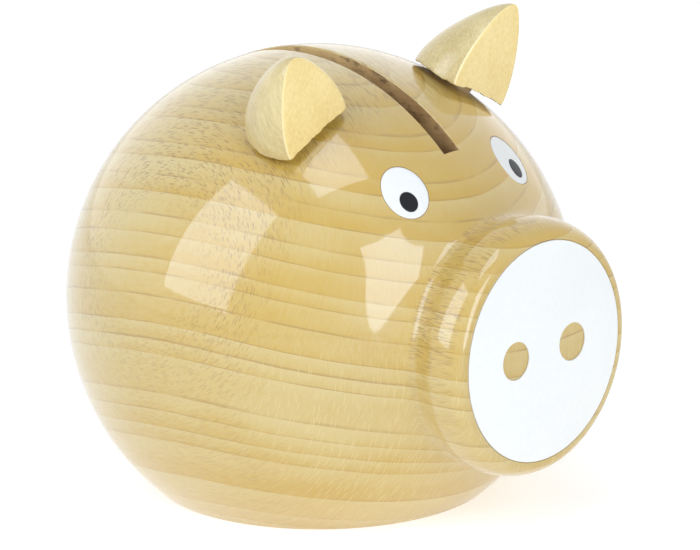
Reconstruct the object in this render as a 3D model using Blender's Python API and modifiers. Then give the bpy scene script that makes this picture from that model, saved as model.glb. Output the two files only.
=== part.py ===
"""A turned wooden money box in the shape of a pig.

The body is one solid block: a ball and a short snout turned on the same level axis, cut flat
underneath, slotted on top for coins and bored out from below. Two turned ears stand on dowels,
a white disc with two nostril holes fills the end of the snout, and the eyes are let into the
face. A wooden disc closes the bored chamber, and a soft stopper in it lets the coins out.

Frame: +Z up, the pig looks along -Y, and X = 0 is its plane of symmetry. The origin lies on the
surface it stands on, below the middle of the box around it. Metres.
"""
from math import acos, cos, pi, radians, sin, sqrt

import bmesh
import bpy
from mathutils import Matrix, Vector

MM = 0.001
GAP = 0.3 * MM                       # clearance between touching pieces
SIGNS = {"right": -1, "left": 1}     # the pig's own right and left, along X

# The turned block.
BALL_RADIUS = 55.0 * MM
BALL_FRONT = 57.8 * MM               # the half towards the snout is drawn out a little
NECK_RADIUS, NECK_AT = 26.5 * MM, 52.6 * MM
RIM_RADIUS, RIM_AT = 27.8 * MM, 59.0 * MM
SNOUT_FACE_RADIUS, SNOUT_LENGTH = 24.4 * MM, 65.7 * MM
SHOULDER_AT = 44.5 * MM              # where the ball begins to turn into the neck
AXIS_HEIGHT = 41.0 * MM              # the turning axis above the flat base
BALL_Y = (SNOUT_LENGTH - BALL_RADIUS) / 2
BALL_CENTRE = Vector((0, BALL_Y, AXIS_HEIGHT))
TURN_STEPS = 56

# Coin slot and coin chamber.
SLOT_WIDTH = 4.6 * MM
SLOT_FRONT, SLOT_BACK = 40.4 * MM, 18.0 * MM      # ahead of and behind the ball's centre
SLOT_FLOOR = AXIS_HEIGHT + 16.0 * MM
CHAMBER_RADIUS = 27.0 * MM
CHAMBER_TOP = AXIS_HEIGHT + 30.0 * MM
REBATE_RADIUS, REBATE_DEPTH = 31.0 * MM, 6.3 * MM

# Closing disc and stopper.
BASE_DISC_THICKNESS = REBATE_DEPTH - GAP
COIN_HOLE_RADIUS = 15.0 * MM
COUNTERBORE_RADIUS, COUNTERBORE_DEPTH = 18.0 * MM, 2.6 * MM
FLANGE_THICKNESS = 1.8 * MM
STOPPER_TOP = 11.0 * MM
STOPPER_WALL = 2.2 * MM
GRIP_RADIUS, GRIP_DEPTH, GRIP_BAR = 10.0 * MM, 4.0 * MM, 3.0 * MM

# Snout disc.
DISC_RADIUS, DISC_THICKNESS = 23.7 * MM, 0.9 * MM
NOSTRIL_RADIUS, NOSTRIL_X = 4.1 * MM, 8.9 * MM

# Eyes.
EYE_OUT = {"right": 16.3 * MM, "left": 16.9 * MM}
EYE_AHEAD, EYE_RISE = 42.2 * MM, 33.9 * MM       # from the ball's centre
EYE_AXIS = Vector((0.27, -0.96, 0.08))           # bored nearly level, splayed outwards
EYE_RADIUS, EYE_THICKNESS = 4.95 * MM, 0.7 * MM
PUPIL_RADIUS, PUPIL_DROP = 1.9 * MM, 1.7 * MM

# Ears: a turned ogive sliced flat in front, its foot saddled to the ball.
EAR_RADIUS, EAR_HEIGHT = 10.9 * MM, 20.9 * MM
EAR_POWER, EAR_BLUNTNESS = 1.65, 0.81
EAR_FACE_TILT, EAR_LEAN, EAR_SLICE = radians(6.7), radians(27.9), radians(18.0)
EAR_SLICE_FOOT = 6.4 * MM            # the flat face ahead of the ear's axis, at the foot
EAR_OUT, EAR_STAND = 24.6 * MM, 51.0 * MM
EAR_FORWARD = {"right": radians(22.1), "left": radians(24.4)}
SADDLE_CLEARANCE, SADDLE_ROCK = 1.9 * MM, 5.5 * MM
EAR_STEPS = 32
DOWEL_RADIUS = 3.0 * MM
DOWEL_IN_EAR, DOWEL_IN_BALL = 8.0 * MM, 9.0 * MM

parts = bpy.data.collections.new("money_box")
cutters = bpy.data.collections.new("cutters")


def clear_scene():
    for thing in list(bpy.data.objects):
        bpy.data.objects.remove(thing, do_unlink=True)
    bpy.context.scene.collection.children.link(parts)
    bpy.context.scene.collection.children.link(cutters)


def material(name, colour, roughness):
    made = bpy.data.materials.new(name)
    made.use_nodes = True
    shader = made.node_tree.nodes["Principled BSDF"]
    shader.inputs["Base Color"].default_value = (*colour, 1)
    shader.inputs["Roughness"].default_value = roughness
    shader.inputs["Metallic"].default_value = 0
    made.diffuse_color = (*colour, 1)
    return made


def add(name, mesh, matrix, collection, paint=None):
    thing = bpy.data.objects.new(name, mesh)
    thing.matrix_world = matrix
    collection.objects.link(thing)
    if paint:
        mesh.materials.append(paint)
    if collection is cutters:
        thing.hide_render = True
        thing.display_type = "WIRE"
    return thing


def turned(name, profile, matrix, collection, paint=None, steps=TURN_STEPS):
    """Turn a profile of (radius, height) points, top to bottom, about the local Z axis."""
    mesh = bpy.data.meshes.new(name)
    points = [(radius, 0, height) for radius, height in profile]
    mesh.from_pydata(points, [(i, i + 1) for i in range(len(points) - 1)], [])
    thing = add(name, mesh, matrix, collection, paint)
    screw = thing.modifiers.new("turn", "SCREW")
    screw.steps = screw.render_steps = steps
    screw.use_merge_vertices = True
    screw.merge_threshold = 0.00001
    screw.use_smooth_shade = True
    return thing


def box(name, low, high, matrix=None):
    """A cutter between two corners."""
    low, high = Vector(low), Vector(high)
    shape = bmesh.new()
    bmesh.ops.create_cube(shape, size=1)
    bmesh.ops.scale(shape, vec=high - low, verts=shape.verts)
    bmesh.ops.translate(shape, vec=(low + high) / 2, verts=shape.verts)
    mesh = bpy.data.meshes.new(name)
    shape.to_mesh(mesh)
    shape.free()
    return add(name, mesh, matrix or Matrix(), cutters)


def cut(thing, *tools):
    for tool in tools:
        hole = thing.modifiers.new(tool.name, "BOOLEAN")
        hole.operation = "DIFFERENCE"
        hole.object = tool


def drum(radius, low, high):
    """The profile of a plain cylinder."""
    return [(0, high), (radius, high), (radius, low), (0, low)]


def ease(start, end, steps):
    """An S-shaped run between two (height, radius, slope) ends, without its first point."""
    (h0, r0, s0), (h1, r1, s1) = start, end
    span = h1 - h0
    for i in range(1, steps + 1):
        t = i / steps
        yield ((2 * t**3 - 3 * t**2 + 1) * r0 + (t**3 - 2 * t**2 + t) * span * s0
               + (3 * t**2 - 2 * t**3) * r1 + (t**3 - t**2) * span * s1, h0 + span * t)


def ball_radius_at(height):
    reach = BALL_FRONT if height > 0 else BALL_RADIUS
    return BALL_RADIUS * sqrt(max(0.0, 1 - (height / reach) ** 2))


def body_profile(inset=0):
    """Snout face first, then its rounded rim, the neck, and the ball to its back.

    An inset gives the same outline that far below the surface.
    """
    points = [(0, SNOUT_LENGTH), (SNOUT_FACE_RADIUS, SNOUT_LENGTH)]
    rim_steps = 6
    for i in range(1, rim_steps + 1):
        turn = pi / 2 * i / rim_steps
        points.append((SNOUT_FACE_RADIUS + (RIM_RADIUS - SNOUT_FACE_RADIUS) * sin(turn),
                       RIM_AT + (SNOUT_LENGTH - RIM_AT) * cos(turn)))
    points += ease((RIM_AT, RIM_RADIUS, 0), (NECK_AT, NECK_RADIUS, 0), 4)
    shoulder = ball_radius_at(SHOULDER_AT)
    slope = -SHOULDER_AT * (BALL_RADIUS / BALL_FRONT) ** 2 / shoulder
    points += ease((NECK_AT, NECK_RADIUS, 0), (SHOULDER_AT, shoulder, slope), 5)
    ball_steps = 28
    first = acos(SHOULDER_AT / BALL_FRONT)
    for i in range(1, ball_steps):
        turn = first + (pi - first) * i / ball_steps
        reach = BALL_FRONT if turn < pi / 2 else BALL_RADIUS
        points.append((BALL_RADIUS * sin(turn), reach * cos(turn)))
    points.append((0, -BALL_RADIUS))
    if not inset:
        return points
    sunk = [(0, SNOUT_LENGTH - inset)]
    for before, (radius, height), after in zip(points, points[1:], points[2:]):
        along = Vector((after[0] - before[0], after[1] - before[1])).normalized()
        sunk.append((radius + along.y * inset, height - along.x * inset))
    return sunk + [(0, inset - BALL_RADIUS)]


def aim(origin, up, side):
    """A matrix whose Z runs along up and whose X lies as near side as it can."""
    z = Vector(up).normalized()
    y = z.cross(Vector(side)).normalized()
    x = y.cross(z)
    return Matrix.Translation(origin) @ Matrix((x, y, z)).transposed().to_4x4()


def eye_seat(side, drop=0):
    """A place on the eye's bore: Z out of the face, -Y down."""
    sign = SIGNS[side]
    axis = Vector((sign * EYE_AXIS.x, EYE_AXIS.y, EYE_AXIS.z))
    centre = Vector((sign * EYE_OUT[side], -EYE_AHEAD, EYE_RISE))
    seat = aim(BALL_CENTRE + centre, axis, axis.cross(Vector((0, 0, -1))))
    return seat @ Matrix.Translation((0, -drop, 0))


def ear_frame(side):
    """The ear's place: Z up its turning axis, -Y out of its flat face."""
    sign = SIGNS[side]
    turn = EAR_FORWARD[side]
    foot = BALL_CENTRE + Vector((sign * EAR_OUT, -EAR_STAND * sin(turn), EAR_STAND * cos(turn)))
    face = Vector((0, -cos(EAR_FACE_TILT), -sin(EAR_FACE_TILT)))
    rise = Vector((0, -sin(EAR_FACE_TILT), cos(EAR_FACE_TILT)))
    rise = (rise * cos(EAR_LEAN) + Vector((sign * sin(EAR_LEAN), 0, 0))).normalized()
    axis = rise * cos(EAR_SLICE) + face * sin(EAR_SLICE)
    return aim(foot, axis, axis.cross(face))


def ear_profile():
    rise_steps, below = 14, 4.0 * MM
    points = []
    for i in range(rise_steps):
        share = 1 - (i / rise_steps) ** 1.7
        points.append((EAR_RADIUS * (1 - share**EAR_POWER) ** EAR_BLUNTNESS, EAR_HEIGHT * share))
    points[0] = (0, EAR_HEIGHT)
    return points + [(EAR_RADIUS, 0), (EAR_RADIUS, -below), (0, -below)]


def ball_profile(radius, steps=40):
    return [(radius * sin(pi * i / steps), radius * cos(pi * i / steps)) for i in range(steps + 1)]


def make_ear(side, paint, dowel_paint):
    frame = ear_frame(side)
    ear = turned(f"ear_{side}", ear_profile(), frame, parts, paint, EAR_STEPS)
    reach = 40 * MM
    tilt = Matrix.Translation((0, -EAR_SLICE_FOOT, 0)) @ Matrix.Rotation(-EAR_SLICE, 4, "X")
    front = box(f"ear_slice_{side}", (-reach, -reach, -reach), (reach, 0, reach), frame @ tilt)
    outwards = (frame.translation - BALL_CENTRE).normalized()
    ahead = -frame.to_3x3().col[1]
    ahead = (ahead - outwards * ahead.dot(outwards)).normalized()
    saddle = turned(f"saddle_{side}", ball_profile(BALL_RADIUS + SADDLE_CLEARANCE),
                    aim(BALL_CENTRE + ahead * SADDLE_ROCK, outwards, ahead), cutters, None, 80)
    hole = turned(f"ear_hole_{side}",
                  drum(DOWEL_RADIUS + GAP, -DOWEL_IN_BALL - GAP, DOWEL_IN_EAR + GAP),
                  frame, cutters, None, 24)
    cut(ear, front, saddle, hole)
    turned(f"ear_dowel_{side}", drum(DOWEL_RADIUS, -DOWEL_IN_BALL, DOWEL_IN_EAR),
           frame, parts, dowel_paint, 24)
    return hole


def shell(thing, skin, floor):
    """Keep only what lies between the turned skin and a floor below it."""
    keep = thing.modifiers.new("skin", "BOOLEAN")
    keep.operation = "INTERSECT"
    keep.object = skin
    cut(thing, floor)


def make_eye(side, white, black, skin, floor, pocket_floor):
    seat, pupil_seat = eye_seat(side), eye_seat(side, PUPIL_DROP)
    depth = 9 * MM
    eye = turned(f"eye_white_{side}", drum(EYE_RADIUS, -depth, depth), seat, parts, white, 48)
    shell(eye, skin, floor)
    cut(eye, turned(f"pupil_hole_{side}", drum(PUPIL_RADIUS + GAP, -2 * depth, 2 * depth),
                    pupil_seat, cutters, None, 32))
    pupil = turned(f"pupil_{side}", drum(PUPIL_RADIUS, -depth, depth), pupil_seat, parts, black, 32)
    shell(pupil, skin, floor)
    pocket = turned(f"eye_pocket_{side}", drum(EYE_RADIUS + GAP, -depth, depth),
                    seat, cutters, None, 48)
    cut(pocket, pocket_floor)
    return pocket


def make_snout_disc(white):
    face = aim((0, BALL_Y - SNOUT_LENGTH, AXIS_HEIGHT), (0, -1, 0), (1, 0, 0))
    disc = turned("snout_disc", drum(DISC_RADIUS, -DISC_THICKNESS, 0), face, parts, white)
    for side, sign in SIGNS.items():
        place = face @ Matrix.Translation((sign * NOSTRIL_X, 0, 0))
        cut(disc, turned(f"nostril_{side}", drum(NOSTRIL_RADIUS, -5 * MM, 5 * MM),
                         place, cutters, None, 32))
    return turned("disc_pocket", drum(DISC_RADIUS + GAP, -DISC_THICKNESS - GAP, 5 * MM),
                  face, cutters)


def make_closure(wood, rubber):
    """The disc glued into the rebate, and the stopper in its stepped hole."""
    middle = Matrix.Translation((0, BALL_Y, 0))
    turned("base_disc", [
        (COIN_HOLE_RADIUS, BASE_DISC_THICKNESS),
        (REBATE_RADIUS - GAP, BASE_DISC_THICKNESS),
        (REBATE_RADIUS - GAP, 0),
        (COUNTERBORE_RADIUS, 0),
        (COUNTERBORE_RADIUS, COUNTERBORE_DEPTH),
        (COIN_HOLE_RADIUS, COUNTERBORE_DEPTH),
        (COIN_HOLE_RADIUS, BASE_DISC_THICKNESS)], middle, parts, wood)
    flange_top = COUNTERBORE_DEPTH - GAP
    flange_bottom = flange_top - FLANGE_THICKNESS
    plug = COIN_HOLE_RADIUS - GAP
    inner = plug - STOPPER_WALL
    web = flange_bottom + GRIP_DEPTH + STOPPER_WALL
    stopper = turned("stopper", [
        (0, web), (inner, web), (inner, STOPPER_TOP), (plug - 0.8 * MM, STOPPER_TOP),
        (plug, STOPPER_TOP - 1.2 * MM), (plug, flange_top),
        (COUNTERBORE_RADIUS - 2 * GAP, flange_top),
        (COUNTERBORE_RADIUS - 2 * GAP, flange_bottom), (0, flange_bottom)], middle, parts, rubber)
    ceiling = flange_bottom + GRIP_DEPTH
    reach = 2 * GRIP_RADIUS
    for side, left, right in (("right", -GRIP_BAR / 2, reach), ("left", -reach, GRIP_BAR / 2)):
        bite = turned(f"grip_{side}", drum(GRIP_RADIUS, -2 * MM, ceiling), middle, cutters, None, 40)
        cut(bite, box(f"beyond_grip_{side}", (left, BALL_Y - reach, -5 * MM),
                      (right, BALL_Y + reach, 20 * MM)))
        cut(stopper, bite)


def level():
    """The turning axis: Z out of the snout."""
    return aim(BALL_CENTRE, (0, -1, 0), (1, 0, 0))


def make_body(wood, tools):
    body = turned("body", body_profile(), level(), parts, wood)
    reach = 90 * MM
    base = box("base_cut", (-reach, -reach, -reach), (reach, reach, 0))
    upright = Matrix.Translation((0, BALL_Y, 0))
    chamber = turned("chamber", [
        (0, CHAMBER_TOP), (CHAMBER_RADIUS, CHAMBER_TOP), (CHAMBER_RADIUS, REBATE_DEPTH),
        (REBATE_RADIUS, REBATE_DEPTH), (REBATE_RADIUS, -5 * MM), (0, -5 * MM)], upright, cutters)
    slot = box("coin_slot", (-SLOT_WIDTH / 2, BALL_Y - SLOT_FRONT, SLOT_FLOOR),
               (SLOT_WIDTH / 2, BALL_Y + SLOT_BACK, AXIS_HEIGHT + 2 * BALL_RADIUS))
    cut(body, base, chamber, slot, *tools)


def main():
    clear_scene()
    lacquered = material("lacquered_beech", (0.62, 0.40, 0.17), 0.2)
    pale = material("ear_wood", (0.80, 0.66, 0.38), 0.4)
    raw = material("raw_beech", (0.66, 0.47, 0.26), 0.6)
    white = material("white_enamel", (0.82, 0.84, 0.86), 0.3)
    black = material("black_enamel", (0.015, 0.015, 0.015), 0.3)
    rubber = material("dark_rubber", (0.03, 0.03, 0.03), 0.7)
    skin = turned("skin", body_profile(), level(), cutters)
    floor = turned("eye_floor", body_profile(EYE_THICKNESS), level(), cutters)
    pocket_floor = turned("pocket_floor", body_profile(EYE_THICKNESS + GAP), level(), cutters)
    tools = [make_snout_disc(white)]
    for side in SIGNS:
        tools.append(make_ear(side, pale, raw))
        tools.append(make_eye(side, white, black, skin, floor, pocket_floor))
    make_body(lacquered, tools)
    make_closure(raw, rubber)


main()
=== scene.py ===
"""Looks of the turned wooden money box: a lacquered beech pig with pale ears.

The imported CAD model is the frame. Every piece here is a finer version of a CAD piece, built on the
same turning axis, ear axes and eye bores, and all of them stay inside the CAD model's box.
"""
from math import acos, asin, cos, pi, radians, sin, sqrt, tan

import bmesh
import bpy
import numpy as np
from mathutils import Matrix, Vector


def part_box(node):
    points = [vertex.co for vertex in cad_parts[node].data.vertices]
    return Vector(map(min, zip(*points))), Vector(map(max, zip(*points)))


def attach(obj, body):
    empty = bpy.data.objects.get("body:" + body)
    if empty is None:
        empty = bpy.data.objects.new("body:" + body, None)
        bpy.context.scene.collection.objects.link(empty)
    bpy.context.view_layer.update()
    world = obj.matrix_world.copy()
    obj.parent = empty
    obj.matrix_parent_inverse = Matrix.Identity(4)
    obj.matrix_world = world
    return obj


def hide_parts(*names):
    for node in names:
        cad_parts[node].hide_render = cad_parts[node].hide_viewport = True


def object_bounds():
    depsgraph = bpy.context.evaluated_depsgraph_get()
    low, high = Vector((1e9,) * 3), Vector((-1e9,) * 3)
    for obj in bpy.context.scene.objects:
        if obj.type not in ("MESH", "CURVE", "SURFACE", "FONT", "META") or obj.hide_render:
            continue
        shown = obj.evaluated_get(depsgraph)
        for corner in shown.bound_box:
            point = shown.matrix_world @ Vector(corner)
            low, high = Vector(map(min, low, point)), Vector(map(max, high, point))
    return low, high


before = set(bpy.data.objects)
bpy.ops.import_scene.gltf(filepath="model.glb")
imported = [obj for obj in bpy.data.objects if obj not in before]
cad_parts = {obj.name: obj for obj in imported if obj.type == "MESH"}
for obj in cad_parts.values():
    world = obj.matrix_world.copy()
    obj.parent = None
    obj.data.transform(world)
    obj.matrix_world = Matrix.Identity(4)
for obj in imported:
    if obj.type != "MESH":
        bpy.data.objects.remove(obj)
cad_low, cad_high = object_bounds()

MM = 0.001
SIGNS = {"right": -1, "left": 1}

# Places read from the frame.
disc_low, disc_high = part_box("snout_disc")
base_low, base_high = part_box("base_disc")
stopper_low, stopper_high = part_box("stopper")
body_low, body_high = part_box("body")
BALL_RADIUS = body_high.x
AXIS_HEIGHT = (disc_low.z + disc_high.z) / 2
BALL_Y = body_high.y - BALL_RADIUS
SNOUT_LENGTH = BALL_Y - body_low.y
BALL_CENTRE = Vector((0, BALL_Y, AXIS_HEIGHT))
DISC_RADIUS = (disc_high.z - disc_low.z) / 2

# The turned outline. In the neck it differs from the CAD body's by up to 0.25 mm.
BALL_FRONT = 57.8 * MM
NECK_RADIUS, NECK_AT = 26.5 * MM, 53.1 * MM
RIM_RADIUS, RIM_AT = 27.8 * MM, 59.0 * MM
SNOUT_FACE_RADIUS = 24.4 * MM
SHOULDER_AT = 43.6 * MM
INLAY_DEPTH, INLAY_GAP = 0.35 * MM, 0.14 * MM

# Coin slot and coin chamber.
SLOT_WIDTH = 4.6 * MM
SLOT_FRONT, SLOT_BACK = 40.4 * MM, 18.0 * MM
SLOT_FLOOR = AXIS_HEIGHT + 16.0 * MM
SLOT_EASE = 0.45 * MM
CHAMBER_RADIUS = 27.0 * MM
CHAMBER_TOP = AXIS_HEIGHT + 30.0 * MM
REBATE_RADIUS, REBATE_DEPTH = 31.0 * MM, 6.3 * MM
COIN_HOLE_RADIUS = 15.0 * MM
COUNTERBORE_RADIUS, COUNTERBORE_DEPTH = 18.0 * MM, 2.6 * MM

# Nostrils and eyes.
NOSTRIL_RADIUS, NOSTRIL_X = 4.1 * MM, 8.9 * MM
EYE_OUT = {"right": 16.3 * MM, "left": 16.9 * MM}
EYE_AHEAD, EYE_RISE = 42.2 * MM, 33.9 * MM
EYE_AXIS = Vector((0.27, -0.96, 0.08))
EYE_RADIUS = 4.95 * MM
PUPIL_RADIUS, PUPIL_DROP = 1.9 * MM, 1.7 * MM

# Ears.
EAR_RADIUS, EAR_HEIGHT = 10.9 * MM, 20.9 * MM
EAR_TIP = EAR_HEIGHT - 0.45 * MM     # the sanded tip
EAR_POWER, EAR_BLUNTNESS = 1.65, 0.81
EAR_FACE_TILT, EAR_LEAN, EAR_SLICE = radians(6.7), radians(27.9), radians(18.0)
EAR_SLICE_FOOT = 6.4 * MM
EAR_OUT, EAR_STAND = 24.6 * MM, 51.0 * MM
EAR_FORWARD = {"right": radians(22.1), "left": radians(24.4)}
SADDLE_CLEARANCE, SADDLE_ROCK = 1.9 * MM, 5.5 * MM
DOWEL_RADIUS = 3.0 * MM
DOWEL_IN_EAR, DOWEL_IN_BALL = 8.0 * MM, 9.0 * MM

# Growth of the beech block.
RING = 4.4 * MM                         # mean width of a growth ring
PITH_HEIGHT = AXIS_HEIGHT + 105 * MM    # the heart of the tree, above the block
RAY_TILT = radians(-20)                 # the ray planes lean over about the turning axis
RAY_TURN = 50 * MM                      # radius at which an angle on the ball is measured as a length
SNOUT_TURN = 46 * MM                    # the same about the turning axis, for the snout


# ---------------------------------------------------------------- camera, lights and floor

AZIMUTH, ELEVATION, ROLL = radians(-46.226), radians(16.525), radians(-1.483)
DISTANCE, LENS, SENSOR = 1.0557, 248.66, 36.0
SIDEWAYS, RAISED = 7.13 * MM, 4.12 * MM
LAMP_TINT = (0.76, 0.88, 1.08)
TENT_SEEN, TENT_LIGHT = 1.45, 0.33      # how bright the tent looks, and how strongly it lights


def camera_axes():
    """Right, up and towards the camera, without its roll."""
    towards = Vector((sin(AZIMUTH) * cos(ELEVATION), -cos(AZIMUTH) * cos(ELEVATION), sin(ELEVATION)))
    right = Vector((cos(AZIMUTH), sin(AZIMUTH), 0))
    return right, towards.cross(right), towards


def add_camera():
    right, up, towards = camera_axes()
    place = BALL_CENTRE + right * SIDEWAYS + up * RAISED + towards * DISTANCE
    rolled = right * cos(ROLL) + up * sin(ROLL)
    axes = Matrix((rolled, towards.cross(rolled), towards)).transposed()
    data = bpy.data.cameras.new("camera")
    data.lens, data.sensor_width = LENS, SENSOR
    data.clip_start, data.clip_end = 0.05, 20
    camera = bpy.data.objects.new("camera", data)
    camera.matrix_world = Matrix.Translation(place) @ axes.to_4x4()
    bpy.context.scene.collection.objects.link(camera)
    bpy.context.scene.camera = camera


def softbox(name, direction, across, along, width, height, distance, radiance):
    """A flat lamp seen from the ball in a direction given as right, up and towards the camera."""
    axes = Matrix(camera_axes()).transposed()
    towards = (axes @ Vector(direction)).normalized()
    x = (axes @ Vector(across)).normalized()
    y = axes @ Vector(along)
    y = (y - x * y.dot(x)).normalized()
    z = x.cross(y)
    if z.dot(towards) < 0:
        x, z = -x, -z
    data = bpy.data.lights.new(name, "AREA")
    data.shape = "RECTANGLE"
    data.size, data.size_y = width * distance, height * distance
    data.energy = radiance * pi * data.size * data.size_y
    data.color = LAMP_TINT
    lamp = bpy.data.objects.new(name, data)
    turn = Matrix((x, y, z)).transposed().to_4x4()
    lamp.matrix_world = Matrix.Translation(BALL_CENTRE + towards * distance) @ turn
    bpy.context.scene.collection.objects.link(lamp)


def add_surroundings():
    """Three lamps placed by their reflections in the lacquer, a white tent and the floor."""
    softbox("softbox_left", (-0.696, 0.402, 0.595), (-0.5, 0.345, -0.794), (0.385, 0.91, 0.153),
            0.554, 0.896, 1.3, 4.0)
    softbox("softbox_above", (0.0, 0.837, 0.547), (-0.414, 0.639, -0.648), (0.312, -0.569, -0.761),
            0.312, 0.798, 1.3, 3.9)
    softbox("softbox_right", (0.510, 0.025, 0.880), (0.754, 0.143, -0.642), (-0.094, 0.995, -0.033),
            0.43, 0.88, 1.3, 5.3)
    world = bpy.data.worlds.new("white_tent")
    world.use_nodes = True
    tree = world.node_tree
    tent = tree.nodes["Background"]
    tent.inputs["Color"].default_value = (1, 1, 1, 1)
    seen = tree.nodes.new("ShaderNodeLightPath")
    strength = tree.nodes.new("ShaderNodeMath")
    strength.operation = "MULTIPLY_ADD"
    strength.inputs[1].default_value = TENT_LIGHT - TENT_SEEN
    strength.inputs[2].default_value = TENT_SEEN
    tree.links.new(seen.outputs["Is Diffuse Ray"], strength.inputs[0])
    tree.links.new(strength.outputs[0], tent.inputs["Strength"])
    bpy.context.scene.world = world
    bpy.context.scene.view_settings.view_transform = "Standard"

    shape = bmesh.new()
    bmesh.ops.create_grid(shape, x_segments=8, y_segments=8, size=6.0)
    mesh = bpy.data.meshes.new("floor")
    shape.to_mesh(mesh)
    shape.free()
    floor = bpy.data.objects.new("floor", mesh)
    floor.location.z = cad_low.z - 0.05 * MM
    bpy.context.scene.collection.objects.link(floor)
    paint = Paint("pale_floor")
    paint.set("Base Color", (0.74, 0.75, 0.76, 1))
    paint.set("Roughness", 0.7)
    paint.set("Specular IOR Level", 0.2)
    paint.set("Emission Color", (1, 1, 1, 1))
    paint.set("Emission Strength", 0.55)
    mesh.materials.append(paint.made)


# ---------------------------------------------------------------- node helper


class Paint:
    """A node material: each call adds a node and returns its output."""

    def __init__(self, name):
        self.made = bpy.data.materials.new(name)
        self.made.use_nodes = True
        self.tree = self.made.node_tree
        self.shader = self.tree.nodes["Principled BSDF"]
        self.coordinates = self.tree.nodes.new("ShaderNodeTexCoord")

    def set(self, socket, value):
        self.shader.inputs[socket].default_value = value

    def feed(self, socket, output):
        self.tree.links.new(output, self.shader.inputs[socket])

    def node(self, kind, inputs=(), output=0, **settings):
        made = self.tree.nodes.new("ShaderNode" + kind)
        for key, value in settings.items():
            setattr(made, key, value)
        for key, value in dict(inputs).items():
            if isinstance(value, bpy.types.NodeSocket):
                self.tree.links.new(value, made.inputs[key])
            else:
                made.inputs[key].default_value = value
        return made.outputs[output]

    def math(self, operation, *values):
        return self.node("Math", dict(enumerate(values)), operation=operation)

    def vector_math(self, operation, *values):
        return self.node("VectorMath", dict(enumerate(values)), operation=operation)

    def mix(self, share, first, second, blend="MIX"):
        return self.node("Mix", {0: share, 6: first, 7: second}, 2,
                         data_type="RGBA", blend_type=blend, clamp_factor=True)

    def step(self, value, low, high, result_low=0.0, result_high=1.0):
        return self.node("MapRange", {0: value, 1: low, 2: high, 3: result_low, 4: result_high},
                         interpolation_type="SMOOTHSTEP")

    def noise(self, where, scale, detail=2.0, roughness=0.5, output=0):
        return self.node("TexNoise", {"Vector": where, "Scale": scale, "Detail": detail,
                                      "Roughness": roughness}, output)

    def stretched(self, where, along_x, along_y, along_z):
        """Coordinates in which a cell is that many metres long each way."""
        return self.vector_math("MULTIPLY", where, (1 / along_x, 1 / along_y, 1 / along_z))


# ---------------------------------------------------------------- materials


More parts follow.
